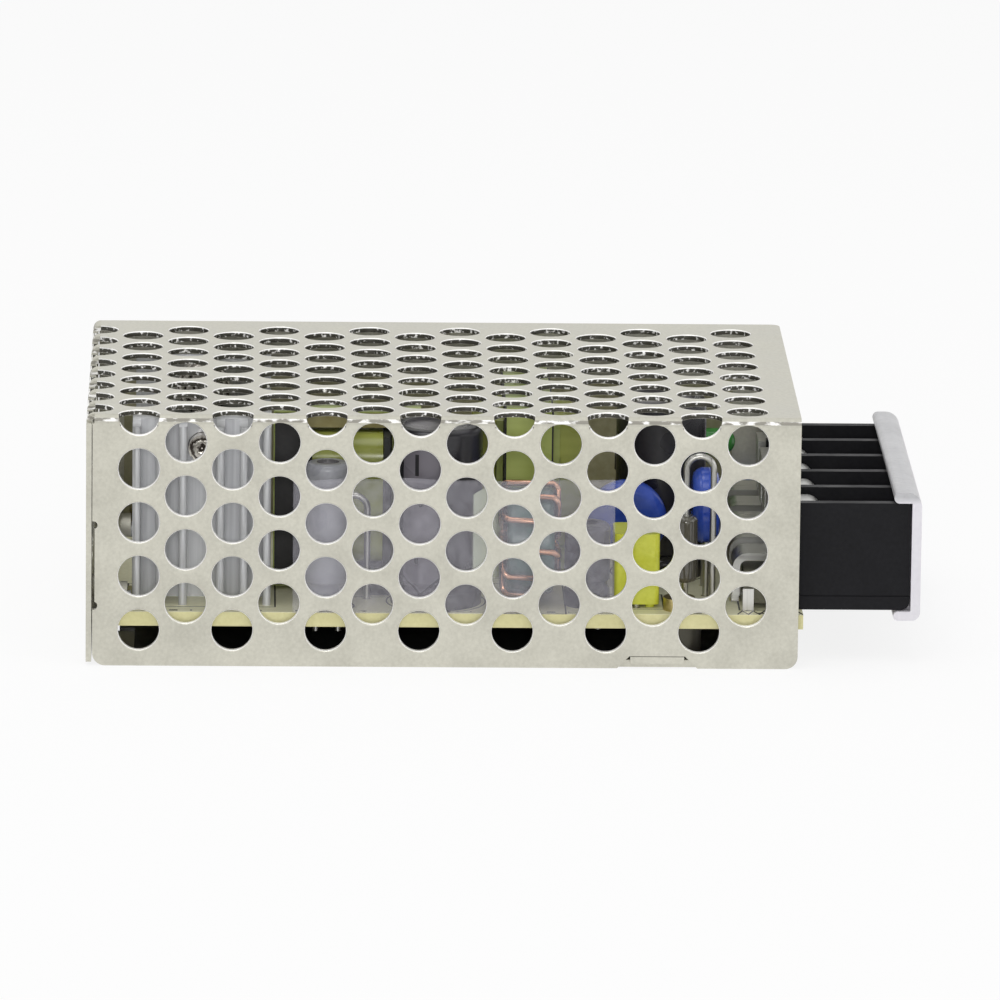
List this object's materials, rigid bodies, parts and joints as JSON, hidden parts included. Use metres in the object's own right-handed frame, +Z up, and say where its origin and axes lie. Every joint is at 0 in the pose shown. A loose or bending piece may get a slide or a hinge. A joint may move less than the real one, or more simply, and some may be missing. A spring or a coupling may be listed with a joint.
{
  "type": "enclosed dc-dc converter",
  "caption": "Small dc-dc converter in a folded, perforated sheet metal case, with a screw terminal block under a clip-on translucent cover.",
  "frame": {"origin": "centre of the case's bottom face", "axes": "+X along the case towards the terminal block, -Y the perforated long side, +Z up"},
  "size_m": [0.0915, 0.051, 0.028],
  "materials": {
    "chassis_metal": "satin",
    "cover_metal": "satin",
    "screw_steel": "satin",
    "black_sheet": "matt",
    "clear_film": "gloss",
    "board": "matt",
    "board_screw": "satin",
    "black_moulding": "matt",
    "contact_metal": "satin",
    "clamp_steel": "satin",
    "terminal_steel": "satin",
    "milky_cover": "satin",
    "bare_aluminium": "satin",
    "black_epoxy": "matt",
    "tinned_tab": "satin",
    "ferrite": "matt",
    "former": "matt",
    "olive_tape": "satin",
    "lime_tape": "satin",
    "toroid_coating": "satin",
    "copper_wire": "gloss",
    "black_sleeve": "satin",
    "dark_sleeve": "satin",
    "grey_sleeve": "satin",
    "lime_box": "satin",
    "blue_dip": "gloss",
    "resistor_coat": "satin",
    "tinned_wire": "satin",
    "green_lens": "gloss",
    "trimmer_case": "satin",
    "trimmer_dial": "matt"
  },
  "bodies": {
    "converter": {"chassis": "chassis_metal", "perforated_cover": "cover_metal", "cover_screws": "screw_steel", "base_insulator": "black_sheet", "side_film": "clear_film", "circuit_board": "board", "board_screws": "board_screw", "terminal_block": "black_moulding", "terminal_contacts": "contact_metal", "heatsink": "bare_aluminium", "transistor_body": "black_epoxy", "transistor_tab": "tinned_tab", "device_screws": "screw_steel", "rectifier_body": "black_epoxy", "rectifier_tab": "tinned_tab", "plate_heatsink": "bare_aluminium", "transformer_core": "ferrite", "transformer_former": "former", "transformer_winding": "olive_tape", "choke_core": "ferrite", "choke_former": "former", "choke_winding": "olive_tape", "core_tapes": "lime_tape", "toroid_core": "toroid_coating", "toroid_winding": "copper_wire", "drum_core": "ferrite", "drum_winding": "copper_wire", "input_capacitor": "black_sleeve", "filter_capacitor": "black_sleeve", "output_capacitors": "dark_sleeve", "small_capacitor": "grey_sleeve", "film_capacitor": "lime_box", "disc_capacitors": "blue_dip", "upright_diode": "black_epoxy", "upright_resistor": "resistor_coat", "hairpin_leads": "tinned_wire", "lying_resistors": "resistor_coat", "resistor_leads": "tinned_wire", "optocoupler": "black_epoxy", "control_chip": "black_epoxy", "chip_pins": "tinned_wire", "fuse": "black_epoxy", "indicator_lamp": "green_lens", "lamp_leads": "tinned_wire", "trimmer_body": "trimmer_case", "component_leads": "tinned_wire"},
    "terminal_cover": {"terminal_cover": "milky_cover"},
    "trimmer_rotor": {"trimmer_rotor": "trimmer_dial"},
    "clamp_1": {"clamp_plate_1": "clamp_steel"},
    "screw_1": {"terminal_screw_1": "terminal_steel"},
    "clamp_2": {"clamp_plate_2": "clamp_steel"},
    "screw_2": {"terminal_screw_2": "terminal_steel"},
    "clamp_3": {"clamp_plate_3": "clamp_steel"},
    "screw_3": {"terminal_screw_3": "terminal_steel"},
    "clamp_4": {"clamp_plate_4": "clamp_steel"},
    "screw_4": {"terminal_screw_4": "terminal_steel"},
    "clamp_5": {"clamp_plate_5": "clamp_steel"},
    "screw_5": {"terminal_screw_5": "terminal_steel"}
  },
  "joints": [
    {"name": "terminal_cover_slide", "type": "slide", "parent": "converter", "child": "terminal_cover", "axis": [1, 0, 0], "range_m": [0, 0.015]},
    {"name": "trimmer_turn", "type": "hinge", "parent": "converter", "child": "trimmer_rotor", "pos_m": [0.0371, 0.0218, 0.00905], "axis": [1, 0, 0], "range_deg": [-105, 105]},
    {"name": "clamp_1_lift", "type": "slide", "parent": "converter", "child": "clamp_1", "axis": [1, 0, 0], "range_m": [0, 0.0025]},
    {"name": "screw_1_turn", "type": "hinge", "parent": "clamp_1", "child": "screw_1", "pos_m": [0.0427, -0.01715, 0.01205], "axis": [1, 0, 0], "range_deg": [0, 1801]},
    {"name": "clamp_2_lift", "type": "slide", "parent": "converter", "child": "clamp_2", "axis": [1, 0, 0], "range_m": [0, 0.0025]},
    {"name": "screw_2_turn", "type": "hinge", "parent": "clamp_2", "child": "screw_2", "pos_m": [0.0427, -0.00914, 0.01205], "axis": [1, 0, 0], "range_deg": [0, 1801]},
    {"name": "clamp_3_lift", "type": "slide", "parent": "converter", "child": "clamp_3", "axis": [1, 0, 0], "range_m": [0, 0.0025]},
    {"name": "screw_3_turn", "type": "hinge", "parent": "clamp_3", "child": "screw_3", "pos_m": [0.0427, -0.00112, 0.01205], "axis": [1, 0, 0], "range_deg": [0, 1801]},
    {"name": "clamp_4_lift", "type": "slide", "parent": "converter", "child": "clamp_4", "axis": [1, 0, 0], "range_m": [0, 0.0025]},
    {"name": "screw_4_turn", "type": "hinge", "parent": "clamp_4", "child": "screw_4", "pos_m": [0.0427, 0.00688, 0.01205], "axis": [1, 0, 0], "range_deg": [0, 1801]},
    {"name": "clamp_5_lift", "type": "slide", "parent": "converter", "child": "clamp_5", "axis": [1, 0, 0], "range_m": [0, 0.0025]},
    {"name": "screw_5_turn", "type": "hinge", "parent": "clamp_5", "child": "screw_5", "pos_m": [0.0427, 0.0149, 0.01205], "axis": [1, 0, 0], "range_deg": [0, 1801]}
  ],
  "couplings": [
    {"joint": "screw_1_turn", "follows": "clamp_1_lift", "rad_per_m": 12566},
    {"joint": "screw_2_turn", "follows": "clamp_2_lift", "rad_per_m": 12566},
    {"joint": "screw_3_turn", "follows": "clamp_3_lift", "rad_per_m": 12566},
    {"joint": "screw_4_turn", "follows": "clamp_4_lift", "rad_per_m": 12566},
    {"joint": "screw_5_turn", "follows": "clamp_5_lift", "rad_per_m": 12566}
  ]
}
